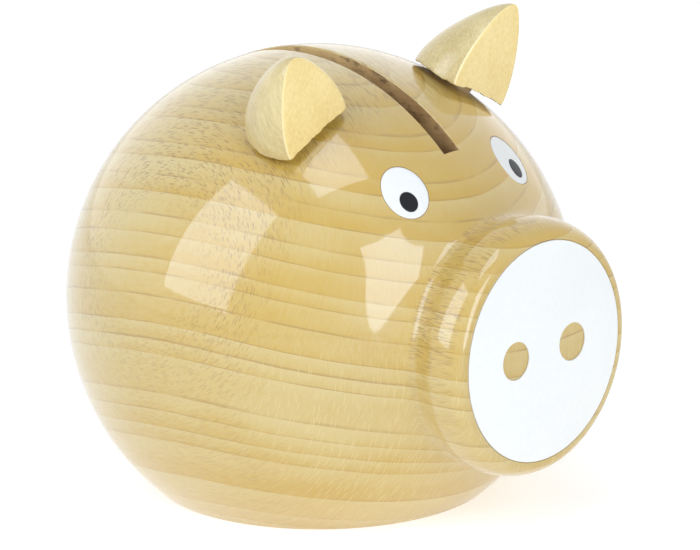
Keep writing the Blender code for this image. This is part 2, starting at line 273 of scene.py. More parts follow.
def beech(name, light, dark, line, rough=0.42, lacquered=True):
    """Beech in solid space: rings about a pith above, fibres along Y and short dashes for rays."""
    paint = Paint(name)
    where = paint.coordinates.outputs["Object"]
    aside, along, height = paint.node("SeparateXYZ", {0: where}).node.outputs
    below_pith = paint.math("SUBTRACT", PITH_HEIGHT, height)
    across = paint.math("MULTIPLY", paint.math("ARCTAN2", aside, below_pith), PITH_HEIGHT - AXIS_HEIGHT)
    away = paint.math("SQRT", paint.math("MULTIPLY_ADD", aside, aside,
                                         paint.math("MULTIPLY", below_pith, below_pith)))
    away = paint.math("MULTIPLY_ADD", along, -0.04, away)
    at = paint.node("CombineXYZ", {0: across, 1: along, 2: away})
    drift = paint.vector_math("SUBTRACT", paint.noise(at, 11.0, 1.0, output=1), (0.5, 0.5, 0.5))
    ripple = paint.vector_math("SUBTRACT", paint.noise(at, 110.0, 2.0, output=1), (0.5, 0.5, 0.5))
    bent = paint.vector_math("ADD", at, paint.vector_math("MULTIPLY", drift, (0, 0, 6.0 * MM)))
    bent = paint.vector_math("ADD", bent, paint.vector_math("MULTIPLY", ripple, (0, 0, 0.40 * MM)))
    count = paint.math("DIVIDE", paint.node("SeparateXYZ", {0: bent}).node.outputs[2], RING)
    uneven = paint.node("TexNoise", {"W": count, "Scale": 0.5, "Detail": 1.0},
                        noise_dimensions="1D")
    count = paint.math("MULTIPLY_ADD", uneven, 1.4, count)
    share = paint.math("FRACT", count)
    number = paint.math("FLOOR", count)
    late = paint.math("MULTIPLY", paint.step(share, 0.84, 0.96), paint.step(share, 1.0, 0.98))
    fading = paint.noise(paint.stretched(at, 12 * MM, 14 * MM, 4 * MM), 1.0, 2.0)
    late = paint.math("MULTIPLY", late, paint.step(fading, 0.36, 0.64, 0.12, 1.0))
    late = paint.math("MULTIPLY", late, paint.step(height, 12 * MM, 46 * MM, 0.35, 1.0))
    shade = paint.node("TexWhiteNoise", {"W": number}, noise_dimensions="1D")
    patchy = paint.noise(paint.stretched(at, 18 * MM, 40 * MM, 12 * MM), 1.0, 3.0)

    fibre = paint.noise(paint.stretched(at, 0.30 * MM, 7 * MM, 0.30 * MM), 1.0, 3.0, 0.6)
    hair = paint.noise(paint.stretched(at, 0.28 * MM, 1.6 * MM, 5 * MM), 1.0, 2.0, 0.5)
    above_axis = paint.math("SUBTRACT", height, AXIS_HEIGHT)
    around = paint.math("MULTIPLY", paint.math("ARCTAN2", aside, above_axis), SNOUT_TURN)
    side_at = paint.node("CombineXYZ", {0: around, 1: along, 2: 0.0})
    front_at = paint.node("CombineXYZ", {0: aside, 1: height, 2: 0.0})
    ahead = paint.math("SUBTRACT", BALL_Y, along)
    leaning = paint.node("VectorRotate", {0: paint.node("CombineXYZ", {0: aside, 1: ahead, 2: above_axis}),
                                          3: RAY_TILT}, rotation_type="Y_AXIS")
    across_rays, ahead_rays, up_rays = paint.node("SeparateXYZ", {0: leaning}).node.outputs
    turned = paint.math("MULTIPLY", paint.math("ARCTAN2", up_rays, ahead_rays), RAY_TURN)
    inward = paint.math("SQRT", paint.math("MULTIPLY_ADD", ahead_rays, ahead_rays,
                                           paint.math("MULTIPLY", up_rays, up_rays)))
    sideways = paint.math("MULTIPLY", paint.math("ARCTAN2", inward, across_rays), RAY_TURN)
    ball_at = paint.node("CombineXYZ", {0: sideways, 1: turned, 2: 0.0})
    crowd = paint.noise(paint.stretched(at, 11 * MM, 18 * MM, 11 * MM), 1.0, 3.0)
    dashes = []
    for place, wide, long in ((ball_at, 0.48 * MM, 5.6 * MM), (ball_at, 0.36 * MM, 3.2 * MM),
                              (side_at, 0.56 * MM, 5.0 * MM), (side_at, 0.40 * MM, 2.6 * MM),
                              (front_at, 0.34 * MM, 4.5 * MM)):
        cell = paint.node("TexVoronoi", {"Vector": paint.stretched(place, wide, long, 1.0),
                                         "Scale": 1.0, "Randomness": 1.0}, voronoi_dimensions="2D")
        chosen = paint.node("SeparateXYZ", {0: cell.node.outputs["Color"]})
        chosen = paint.math("MULTIPLY_ADD", crowd, 0.9, chosen)
        dashes.append(paint.math("MULTIPLY", paint.step(cell, 0.38, 0.16), paint.step(chosen, 0.86, 1.22)))

    facing = paint.node("SeparateXYZ", {0: paint.coordinates.outputs["Normal"]}).node
    end_grain = paint.step(paint.math("ABSOLUTE", facing.outputs[1]), 0.30, 0.62)
    ball_rays = paint.math("MAXIMUM", dashes[0], paint.math("MULTIPLY", dashes[1], 0.7))
    snout_rays = paint.math("MAXIMUM", dashes[2], paint.math("MULTIPLY", dashes[3], 0.7))
    ball_rays = paint.math("MULTIPLY", ball_rays, paint.step(inward, 8 * MM, 22 * MM))
    on_snout = paint.step(ahead, 42 * MM, 48 * MM)
    side_rays = paint.math("ADD", paint.math("MULTIPLY", snout_rays, on_snout),
                           paint.math("MULTIPLY", ball_rays, paint.step(on_snout, 1.0, 0.0)))
    side_rays = paint.math("MULTIPLY", side_rays, paint.step(end_grain, 1.0, 0.0))
    side_rays = paint.math("MULTIPLY", side_rays, paint.step(facing.outputs[2], -0.25, 0.45, 0.28, 1.0))
    front_rays = paint.math("MULTIPLY", dashes[4], end_grain)
    front_rays = paint.math("MULTIPLY", front_rays, paint.step(height, 54 * MM, 30 * MM, 0.10, 1.0))

    tone = paint.math("MULTIPLY_ADD", share, 0.30, paint.math("MULTIPLY", shade, 0.26))
    tone = paint.math("MULTIPLY_ADD", patchy, 0.60, tone)
    tone = paint.math("MULTIPLY_ADD", fibre, 0.34, tone)
    tone = paint.math("MULTIPLY_ADD", hair, 0.30, tone)
    # Darker on the upper front of the ball, less so near the very top.
    upper_front_tone = paint.math("MULTIPLY", paint.step(height, 28 * MM, 62 * MM),
                        paint.step(along, 22 * MM, -12 * MM))
    upper_front_tone = paint.math("MULTIPLY", upper_front_tone, paint.step(height, 98 * MM, 76 * MM, 0.30, 1.0))
    tone = paint.math("MULTIPLY_ADD", upper_front_tone, 0.34, tone)
    # Painted shade: the wood is made darker towards the bottom, to hold down the floor's glow on the
    # underside.
    tone = paint.math("ADD", tone, paint.step(height, 46 * MM, 8 * MM, 0.0, 0.16))
    colour = paint.mix(paint.step(tone, 0.60, 1.50), (*light, 1), (*dark, 1))
    colour = paint.mix(paint.math("MULTIPLY", late, 0.50), colour, (*line, 1))
    pale = tuple(min(1.0, c * 1.12) for c in light)
    brown = tuple(c * d for c, d in zip(line, (0.68, 0.52, 0.25)))
    depth = paint.math("MULTIPLY_ADD", on_snout, 0.16, 0.56)
    colour = paint.mix(paint.math("MULTIPLY", side_rays, depth), colour, (*brown, 1))
    colour = paint.mix(paint.math("MULTIPLY", front_rays, 0.50), colour, (*pale, 1))
    paint.feed("Base Color", colour)

    relief = paint.math("MULTIPLY_ADD", late, -0.8, paint.math("MULTIPLY", side_rays, -0.5))
    relief = paint.math("MULTIPLY_ADD", fibre, 0.4, relief)
    bump = paint.node("Bump", {"Height": relief, "Distance": 0.02 * MM, "Strength": 1.0})
    paint.feed("Normal", bump)
    paint.set("Roughness", rough)
    paint.set("Specular IOR Level", 0.35)
    if lacquered:
        coat = paint.node("Bump", {"Height": relief, "Distance": 0.006 * MM, "Strength": 1.0})
        paint.feed("Coat Normal", coat)
        paint.set("Coat Weight", 1.0)
        paint.set("Coat Roughness", 0.008)
        paint.set("Coat IOR", 1.5)
    return paint


def pale_wood():
    """The ears' close-grained cream wood under a satin finish."""
    paint = Paint("ear_wood")
    at = paint.node("Mapping", {"Vector": paint.coordinates.outputs["Object"],
                                "Rotation": (radians(18), radians(12), radians(8))})
    cloud = paint.noise(paint.stretched(at, 9 * MM, 9 * MM, 22 * MM), 1.0, 3.0)
    fibre = paint.noise(paint.stretched(at, 0.42 * MM, 0.42 * MM, 7 * MM), 1.0, 3.0, 0.65)
    fleck = paint.noise(paint.stretched(at, 0.9 * MM, 0.5 * MM, 1.4 * MM), 1.0, 2.0, 0.5)
    tone = paint.math("MULTIPLY_ADD", cloud, 0.6, paint.math("MULTIPLY", fibre, 0.75))
    tone = paint.math("MULTIPLY_ADD", fleck, 0.35, tone)
    colour = paint.mix(paint.step(tone, 0.55, 1.15), (0.88, 0.68, 0.28, 1), (0.77, 0.55, 0.18, 1))
    ahead = paint.node("SeparateXYZ", {0: paint.coordinates.outputs["Normal"]}).node.outputs[1]
    # Painted shade: the ear's rounded side, facing away from the flat face, gets a darker, browner copy of
    # the wood.
    shaded_side = paint.mix(paint.step(tone, 0.60, 1.05), (0.66, 0.52, 0.235, 1), (0.51, 0.375, 0.145, 1))
    colour = paint.mix(paint.step(ahead, -0.86, -0.72), colour, shaded_side)
    # Painted highlight: a pale thin line along the soft edge between the flat face and the rounded side.
    ridge_highlight = paint.math("MULTIPLY", paint.step(ahead, -0.89, -0.86), paint.step(ahead, -0.60, -0.72))
    colour = paint.mix(paint.math("MULTIPLY", ridge_highlight, 0.7), colour, (0.90, 0.74, 0.38, 1))
    paint.feed("Base Color", colour)
    relief = paint.math("MULTIPLY_ADD", fleck, 0.6, fibre)
    paint.feed("Normal", paint.node("Bump", {"Height": relief, "Distance": 0.04 * MM}))
    paint.set("Roughness", 0.42)
    paint.set("Specular IOR Level", 0.4)
    paint.set("Coat Weight", 0.6)
    paint.set("Coat Roughness", 0.16)
    return paint


def scorched_wood():
    """Sawn walls of the coin slot: raw and matt, browned by the cutter."""
    paint = Paint("scorched_beech")
    at = paint.coordinates.outputs["Object"]
    smoke = paint.noise(at, 75.0, 5.0, 0.62)
    smudge = paint.noise(paint.stretched(at, 6 * MM, 5 * MM, 3 * MM), 1.0, 4.0, 0.65)
    saw = paint.noise(paint.stretched(at, 3 * MM, 9 * MM, 0.5 * MM), 1.0, 3.0, 0.6)
    along = paint.node("SeparateXYZ", {0: at}).node.outputs[1]
    ahead = paint.step(along, BALL_Y + 14 * MM, BALL_Y - 40 * MM)
    burnt = paint.math("MULTIPLY_ADD", ahead, 0.40, paint.math("MULTIPLY", smoke, 0.75))
    burnt = paint.math("MULTIPLY_ADD", saw, 0.25, burnt)
    colour = paint.mix(paint.step(burnt, 0.35, 1.10), (0.74, 0.50, 0.21, 1), (0.34, 0.18, 0.065, 1))
    colour = paint.mix(paint.math("MULTIPLY", paint.step(smudge, 0.50, 0.70), 0.75), colour,
                       (0.075, 0.035, 0.015, 1))
    paint.feed("Base Color", colour)
    bump = paint.node("Bump", {"Height": saw, "Distance": 0.10 * MM, "Strength": 0.9})
    paint.feed("Normal", bump)
    paint.set("Roughness", 0.75)
    paint.set("Specular IOR Level", 0.25)
    return paint


def enamel(name, colour, deep, rough):
    """Printed enamel under the lacquer, faintly mottled."""
    paint = Paint(name)
    at = paint.coordinates.outputs["Object"]
    mottle = paint.noise(at, 900.0, 3.0, 0.55)
    cloud = paint.noise(at, 60.0, 2.0)
    tone = paint.math("ADD", paint.math("MULTIPLY", mottle, 0.5), paint.math("MULTIPLY", cloud, 0.5))
    paint.feed("Base Color", paint.mix(paint.step(tone, 0.3, 0.7), (*colour, 1), (*deep, 1)))
    bump = paint.node("Bump", {"Height": mottle, "Distance": 0.01 * MM, "Strength": 0.6})
    paint.feed("Normal", bump)
    paint.set("Roughness", rough)
    paint.set("Specular IOR Level", 0.14)
    paint.set("Coat Weight", 0.1)
    paint.set("Coat Roughness", 0.1)
    return paint


def rubber():
    paint = Paint("stopper_rubber")
    at = paint.coordinates.outputs["Object"]
    grit = paint.noise(at, 1800.0, 3.0, 0.6)
    dust = paint.noise(at, 120.0, 4.0, 0.6)
    colour = paint.mix(paint.step(dust, 0.5, 0.75), (0.028, 0.027, 0.026, 1), (0.060, 0.056, 0.052, 1))
    paint.feed("Base Color", colour)
    paint.feed("Normal", paint.node("Bump", {"Height": grit, "Distance": 0.03 * MM, "Strength": 0.5}))
    paint.feed("Roughness", paint.step(grit, 0.3, 0.7, 0.5, 0.7))
    return paint


# ---------------------------------------------------------------- mesh helpers


def add_piece(name, points, faces, paints, body, node, face_paints=None):
    """A smooth-shaded piece from points and faces, standing for a CAD node."""
    mesh = bpy.data.meshes.new(name)
    mesh.from_pydata([tuple(p) for p in points], [], [tuple(f) for f in faces])
    for paint in paints:
        mesh.materials.append(paint.made)
    if face_paints is not None:
        mesh.polygons.foreach_set("material_index", np.asarray(face_paints, np.int32))
    mesh.shade_smooth()
    mesh.set_sharp_from_angle(angle=radians(38))
    piece = bpy.data.objects.new(name, mesh)
    bpy.context.scene.collection.objects.link(piece)
    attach(piece, body)
    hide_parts(node)
    return piece


def mend(mesh, merge=True):
    """Join points that lie together and turn every face outwards."""
    shape = bmesh.new()
    shape.from_mesh(mesh)
    if merge:
        bmesh.ops.remove_doubles(shape, verts=shape.verts, dist=0.001 * MM)
    bmesh.ops.recalc_face_normals(shape, faces=shape.faces)
    shape.to_mesh(mesh)
    shape.free()


def rows_to_faces(rows):
    """Quads between neighbouring closed rows of equal length."""
    count = len(rows[0])
    faces = []
    for j in range(len(rows) - 1):
        here, below = j * count, (j + 1) * count
        for i in range(count):
            k = (i + 1) % count
            faces.append((here + i, below + i, below + k, here + k))
    return faces


def lathe(profile, matrix, steps):
    """Points and faces of a turned solid. Its profile is (radius, height), top to bottom."""
    points, faces, starts = [], [], []
    for radius, height in profile:
        starts.append(len(points))
        if radius < 1e-7:
            points.append(Vector((0, 0, height)))
            continue
        for i in range(steps):
            turn = 2 * pi * i / steps
            points.append(Vector((radius * cos(turn), radius * sin(turn), height)))
    for j in range(len(profile) - 1):
        a, b = starts[j], starts[j + 1]
        for i in range(steps):
            k = (i + 1) % steps
            if profile[j][0] < 1e-7:
                faces.append((a, b + i, b + k))
            elif profile[j + 1][0] < 1e-7:
                faces.append((a + i, b, a + k))
            else:
                faces.append((a + i, b + i, b + k, a + k))
    return [matrix @ p for p in points], faces


def eased(corners, size, steps=3):
    """A profile whose marked corners are rounded. A corner is (radius, height, share of size)."""
    result = []
    for i, (radius, height, share) in enumerate(corners):
        here = Vector((radius, height))
        if not share:
            result.append((radius, height))
            continue
        before = Vector(corners[i - 1][:2]) - here
        after = Vector(corners[(i + 1) % len(corners)][:2]) - here
        start, end = here + before.normalized() * size * share, here + after.normalized() * size * share
        for k in range(steps + 1):
            t = k / steps
            point = start * (1 - t)**2 + here * 2 * t * (1 - t) + end * t**2
            result.append((point.x, point.y))
    return result


# ---------------------------------------------------------------- the turned body


def ease(start, end, steps):
    """An S-shaped run between two (height, radius, slope) ends, without its first point."""
    (h0, r0, s0), (h1, r1, s1) = start, end
    span = h1 - h0
    for i in range(1, steps + 1):
        t = i / steps
        yield ((2 * t**3 - 3 * t**2 + 1) * r0 + (t**3 - 2 * t**2 + t) * span * s0
               + (3 * t**2 - 2 * t**3) * r1 + (t**3 - t**2) * span * s1, h0 + span * t)


def ball_radius_at(height):
    reach = BALL_FRONT if height > 0 else BALL_RADIUS
    return BALL_RADIUS * sqrt(max(0.0, 1 - (height / reach) ** 2))


def skin_profile():
    """The outer skin from the rim of the snout's face to the back of the ball."""
    points = [(SNOUT_FACE_RADIUS, SNOUT_LENGTH)]
    rim_steps = 16
    for i in range(1, rim_steps + 1):
        turn = pi / 2 * i / rim_steps
        points.append((SNOUT_FACE_RADIUS + (RIM_RADIUS - SNOUT_FACE_RADIUS) * sin(turn),
                       RIM_AT + (SNOUT_LENGTH - RIM_AT) * cos(turn)))
    points += ease((RIM_AT, RIM_RADIUS, 0), (NECK_AT, NECK_RADIUS, 0), 12)
    shoulder = ball_radius_at(SHOULDER_AT)
    slope = -SHOULDER_AT * (BALL_RADIUS / BALL_FRONT) ** 2 / shoulder
    points += ease((NECK_AT, NECK_RADIUS, 0), (SHOULDER_AT, shoulder, slope), 18)
    ball_steps = 130
    first = acos(SHOULDER_AT / BALL_FRONT)
    for i in range(1, ball_steps):
        turn = first + (pi - first) * i / ball_steps
        reach = BALL_FRONT if turn < pi / 2 else BALL_RADIUS
        points.append((BALL_RADIUS * sin(turn), reach * cos(turn)))
    return points


SKIN = skin_profile()
SKIN_HEIGHTS = np.array([h for r, h in SKIN] + [-BALL_RADIUS])[::-1]
SKIN_RADII = np.array([r for r, h in SKIN] + [0])[::-1]


def skin_radius(height):
    """The turned skin's radius at a height along the axis, exact on the ball."""
    height = np.asarray(height, float)
    reach = np.where(height > 0, BALL_FRONT, BALL_RADIUS)
    ball = BALL_RADIUS * np.sqrt(np.maximum(0, 1 - (height / reach) ** 2))
    return np.where(height < SHOULDER_AT, ball, np.interp(height, SKIN_HEIGHTS, SKIN_RADII))


def on_skin(starts, direction, reach=12 * MM):
    """Where lines from inside the skin, along a direction, come out of it."""
    starts = np.asarray(starts, float)
    direction = np.asarray(direction, float)
    low, high = np.full(len(starts), -reach), np.full(len(starts), reach)
    for _ in range(40):
        middle = (low + high) / 2
        p = starts + middle[:, None] * direction
        radius = np.hypot(p[:, 0], p[:, 2] - AXIS_HEIGHT)
        inside = radius < skin_radius(BALL_Y - p[:, 1])
        low, high = np.where(inside, middle, low), np.where(inside, high, middle)
    return starts + low[:, None] * direction


def skin_normals(points):
    """Outward unit normals of the turned skin, from its slope."""
    height = BALL_Y - points[:, 1]
    small = 0.05 * MM
    slope = (skin_radius(height + small) - skin_radius(height - small)) / (2 * small)
    out = np.stack([points[:, 0], np.zeros(len(points)), points[:, 2] - AXIS_HEIGHT], 1)
    out /= np.maximum(np.linalg.norm(out, axis=1), 1e-9)[:, None]
    out[:, 1] = slope
    return out / np.linalg.norm(out, axis=1)[:, None]


def body_rows():
    """The skin as rows of points about the axis, with the slot's rim on two of its columns.

    Returns the rows, the slot's first and last row, and how many columns lie over the slot.
    """
    side_steps, over_slot = 150, 4
    rim = SLOT_WIDTH / 2 + SLOT_EASE
    front, back = SLOT_FRONT + SLOT_EASE, -SLOT_BACK - SLOT_EASE
    heights = [h for r, h in SKIN]
    first = min(range(len(heights)), key=lambda i: abs(heights[i] - front))
    last = min(range(len(heights)), key=lambda i: abs(heights[i] - back))
    stations = list(SKIN)
    stations[first] = (ball_radius_at(front), front)
    stations[last] = (ball_radius_at(back), back)
    narrowest = ball_radius_at(front)
    rows = []
    for radius, height in stations:
        edge = asin(rim / max(radius, narrowest))
        turns = [-edge + 2 * edge * i / over_slot for i in range(over_slot)]
        turns += [edge + 2 * (pi - edge) * i / (2 * side_steps) for i in range(2 * side_steps)]
        rows.append([Vector((radius * sin(t), BALL_Y - height, AXIS_HEIGHT + radius * cos(t)))
                     for t in turns])
    return rows, first, last, over_slot


def make_body(wood, scorched, bored):
    """The turned block: skin, snout face and the slot with its eased rim, then the cuts."""
    rows, first, last, over_slot = body_rows()
    count = len(rows[0])
    seat = DISC_RADIUS + INLAY_GAP
    face_y = BALL_Y - SNOUT_LENGTH
    face_rows = []
    for radius, depth in ((seat, INLAY_DEPTH), (seat, 0.12 * MM), (seat + 0.10 * MM, 0)):
        face_rows.append([Vector((0, face_y + depth, AXIS_HEIGHT))
                          + (p - Vector((0, p.y, AXIS_HEIGHT))).normalized() * radius
                          for p in rows[0]])
    rows = face_rows + rows
    first, last = first + len(face_rows), last + len(face_rows)
    points = [p for row in rows for p in row]
    faces, paints = [], []
    for j in range(len(rows) - 1):
        for i in range(count):
            if first <= j < last and i < over_slot:
                continue
            k = (i + 1) % count
            a, b = j * count, (j + 1) * count
            faces.append((a + i, b + i, b + k, a + k))
            paints.append(0)
    faces.append(tuple(range(count)))
    paints.append(0)
    pole = len(points)
    points.append(Vector((0, BALL_Y + BALL_RADIUS, AXIS_HEIGHT)))
    a = (len(rows) - 1) * count
    for i in range(count):
        faces.append((a + i, pole, a + (i + 1) % count))
        paints.append(0)

    # The slot's rim as one loop, seen from above: down its left side and up its right side.
    loop = [(j, over_slot) for j in range(first, last)] + [(last, i) for i in range(over_slot, 0, -1)]
    loop += [(j, 0) for j in range(last, first, -1)] + [(first, i) for i in range(over_slot)]
    rim = [j * count + i for j, i in loop]
    y_front, y_back = rows[first][0].y + SLOT_EASE, rows[last][0].y - SLOT_EASE
    half = SLOT_WIDTH / 2
    wall = [Vector((max(-half, min(half, p.x)), max(y_front, min(y_back, p.y)), p.z))
            for p in (points[index] for index in rim)]
    levels = []
    ease_steps = 5
    for s in range(1, ease_steps + 1):
        turn = pi / 2 * s / ease_steps
        level = []
        for index, inner in zip(rim, wall):
            p = points[index]
            sideways = Vector((inner.x - p.x, inner.y - p.y, 0))
            on_top = float(skin_radius(BALL_Y - inner.y))
            top = AXIS_HEIGHT + sqrt(max(0, on_top**2 - inner.x**2))
            low = top - SLOT_EASE
            level.append(Vector((p.x + sideways.x * sin(turn), p.y + sideways.y * sin(turn),
                                 low + (p.z - low) * cos(turn)
                                 + (top - p.z) * sin(turn) * cos(turn))))
        levels.append(level)
    wall_steps = 8
    foot = levels[-1]
    for s in range(1, wall_steps + 1):
        levels.append([Vector((p.x, p.y, p.z + (SLOT_FLOOR - p.z) * s / wall_steps)) for p in foot])
    previous = rim
    for s, level in enumerate(levels):
        start = len(points)
        points += level
        ring = list(range(start, start + len(level)))
        for i in range(len(ring)):
            k = (i + 1) % len(ring)
            faces.append((previous[k], previous[i], ring[i], ring[k]))
            paints.append(0 if s < ease_steps - 1 else 1)
        previous = ring
    faces.append(tuple(reversed(previous)))
    paints.append(1)

    body = add_piece("turned_body", points, faces, (wood, scorched, bored), "bank", "body",
                     paints)
    carve(body, bored)
    polish(body)


def join_cutters(name, shapes, material):
    """One closed cutter from several turned shapes that don't meet."""
    points, faces = [], []
    for some_points, some_faces in shapes:
        start = len(points)
        points += some_points
        faces += [tuple(start + i for i in face) for face in some_faces]
    mesh = bpy.data.meshes.new(name)
    mesh.from_pydata([tuple(p) for p in points], [], faces)
    mesh.materials.append(material)
    thing = bpy.data.objects.new(name, mesh)
    bpy.context.scene.collection.objects.link(thing)
    return thing


def apply_cut(thing, cutter):
    """Cut one piece with another. The new faces take the cutter's material."""
    hole = thing.modifiers.new("cut", "BOOLEAN")
    hole.operation, hole.object, hole.solver = "DIFFERENCE", cutter, "EXACT"
    hole.material_mode = "TRANSFER"
    graph = bpy.context.evaluated_depsgraph_get()
    cut_mesh = bpy.data.meshes.new_from_object(thing.evaluated_get(graph))
    thing.modifiers.clear()
    thing.data = cut_mesh
    bpy.data.objects.remove(cutter)


def eye_seat(side, drop=0):
    """A place on the eye's bore: Z out of the face, -Y down."""
    sign = SIGNS[side]
    axis = Vector((sign * EYE_AXIS.x, EYE_AXIS.y, EYE_AXIS.z))
    centre = Vector((sign * EYE_OUT[side], -EYE_AHEAD, EYE_RISE))
    seat = aim(BALL_CENTRE + centre, axis, axis.cross(Vector((0, 0, -1))))
    return seat @ Matrix.Translation((0, -drop, 0))


def aim(origin, up, side):
    """A matrix whose Z runs along up and whose X lies as near side as it can."""
    z = Vector(up).normalized()
    y = z.cross(Vector(side)).normalized()
    x = y.cross(z)
    return Matrix.Translation(origin) @ Matrix((x, y, z)).transposed().to_4x4()


def eye_pocket(side):
    """A closed plug with a floor that follows the skin, just under the eye's inlay."""
    steps, rings = 96, 10
    seat = eye_seat(side)
    inverse = seat.inverted()
    axis = np.array(seat.to_3x3().col[2])
    radius = EYE_RADIUS + INLAY_GAP
    rows = []
    for j in range(1, rings + 1):
        rows.append([seat @ Vector((radius * j / rings * cos(2 * pi * i / steps),
                                    radius * j / rings * sin(2 * pi * i / steps), 0))
                     for i in range(steps)])
    flat = [p for row in rows for p in row] + [seat.translation]
    skin = on_skin([tuple(p) for p in flat], axis)
    floor = [Vector(p) - Vector(skin_normals(np.array([p]))[0]) * INLAY_DEPTH for p in skin]
    # Straight walls: only the floor's depth is taken from the skin.
    points = []
    for p, deep in zip(flat, floor):
        local = inverse @ p
        points.append(seat @ Vector((local.x, local.y, (inverse @ deep).z)))
    faces = [tuple(reversed(face)) for face in rows_to_faces(rows)]
    middle = len(points) - 1
    faces += [(middle, (i + 1) % steps, i) for i in range(steps)]
    last = (rings - 1) * steps
    top = len(points)
    for i in range(steps):
        local = inverse @ points[last + i]
        points.append(seat @ Vector((local.x, local.y, 9 * MM)))
    faces += [(last + i, last + (i + 1) % steps, top + (i + 1) % steps, top + i) for i in range(steps)]
    faces.append(tuple(top + i for i in range(steps)))
    return points, faces


def ear_frame(side):
    """The ear's place: Z up its turning axis, -Y out of its flat face."""
    sign, turn = SIGNS[side], EAR_FORWARD[side]
    foot = BALL_CENTRE + Vector((sign * EAR_OUT, -EAR_STAND * sin(turn), EAR_STAND * cos(turn)))
    face = Vector((0, -cos(EAR_FACE_TILT), -sin(EAR_FACE_TILT)))
    rise = Vector((0, -sin(EAR_FACE_TILT), cos(EAR_FACE_TILT)))
    rise = (rise * cos(EAR_LEAN) + Vector((sign * sin(EAR_LEAN), 0, 0))).normalized()
    axis = rise * cos(EAR_SLICE) + face * sin(EAR_SLICE)
    return aim(foot, axis, axis.cross(face))


def carve(body, bored):
    """The flat base, the bored chamber, the eye pockets and the ears' dowel holes."""
    upright = Matrix.Translation((0, BALL_Y, 0))
    chamber = lathe([(0, CHAMBER_TOP), (CHAMBER_RADIUS, CHAMBER_TOP), (CHAMBER_RADIUS, REBATE_DEPTH),
                     (REBATE_RADIUS, REBATE_DEPTH), (REBATE_RADIUS, 0.6 * MM),
                     (REBATE_RADIUS + 0.5 * MM, 0), (REBATE_RADIUS + 0.5 * MM, -4 * MM),
                     (0, -4 * MM)], upright, 128)
    wide = 70 * MM
    under = lathe([(0, 0), (wide, 0), (wide, -40 * MM), (0, -40 * MM)], upright, 64)
    holes = []
    for side in SIGNS:
        holes.append(lathe([(0, 6 * MM), (DOWEL_RADIUS + 0.2 * MM, 6 * MM),
                            (DOWEL_RADIUS + 0.2 * MM, -DOWEL_IN_BALL - 0.3 * MM),
                            (0, -DOWEL_IN_BALL - 0.3 * MM)], ear_frame(side), 40))
    # The flat base takes the CAD frame's plain material of this name, not the beech made here.
    base_material = bpy.data.materials["lacquered_beech"]
    pockets = [eye_pocket(side) for side in SIGNS]
    for shapes, material in (([under], base_material), ([chamber] + holes, bored.made),
                             (pockets, bored.made)):
        apply_cut(body, join_cutters("cutter", shapes, material))


def polish(body):
    """Smooth shading with the true normals wherever a face lies on the turned skin."""
    mesh = body.data
    mesh.shade_smooth()
    mesh.set_sharp_from_angle(angle=radians(30))
    count = len(mesh.vertices)
    co = np.zeros(count * 3)
    mesh.vertices.foreach_get("co", co)
    co = co.reshape(-1, 3)
    height = BALL_Y - co[:, 1]
    off = np.abs(np.hypot(co[:, 0], co[:, 2] - AXIS_HEIGHT) - skin_radius(height))
    on = (off < 0.02 * MM) & (height < SNOUT_LENGTH - 0.3 * MM) & (height > -BALL_RADIUS + 0.4 * MM)
    true = skin_normals(co)
    corner_normals = np.array([tuple(n.vector) for n in mesh.corner_normals])
    for polygon in mesh.polygons:
        if all(on[v] for v in polygon.vertices):
            facing = np.array(polygon.normal)
            for loop, vertex in zip(polygon.loop_indices, polygon.vertices):
                if true[vertex] @ facing > 0.9:
                    corner_normals[loop] = true[vertex]
    mesh.normals_split_custom_set([tuple(n) for n in corner_normals])


# ---------------------------------------------------------------- ears and dowels


def ear_section(height):
    """The turned ear's radius and its flat face's place at a height."""
    share = np.clip(height / EAR_TIP, 0, 1)
    radius = EAR_RADIUS * (1 - share**EAR_POWER) ** (EAR_BLUNTNESS - 0.15 * share**3)
    return radius, -EAR_SLICE_FOOT + height * tan(EAR_SLICE)


def ear_wall(turn, height, soft=0.9 * MM):
    """Points of the ear's wall. The ridges between round and flat are softened."""
    radius, flat = ear_section(height)
    middle = (np.maximum(flat, -radius) + radius) / 2
    out_x, out_y = np.sin(turn), np.cos(turn)
    to_round = -middle * out_y + np.sqrt(np.maximum(radius**2 - (middle * out_x) ** 2, 0))
    to_flat = np.where(out_y < -1e-6, (flat - middle) / np.minimum(out_y, -1e-6), 1.0)
    width = np.minimum(soft, 0.35 * radius + 1e-6)
    near = np.maximum(width - np.abs(to_round - to_flat), 0) / width
    reach = np.maximum(np.minimum(to_round, to_flat) - near**2 * width / 4, 0)
    return np.stack([reach * out_x, middle + reach * out_y, height], -1)


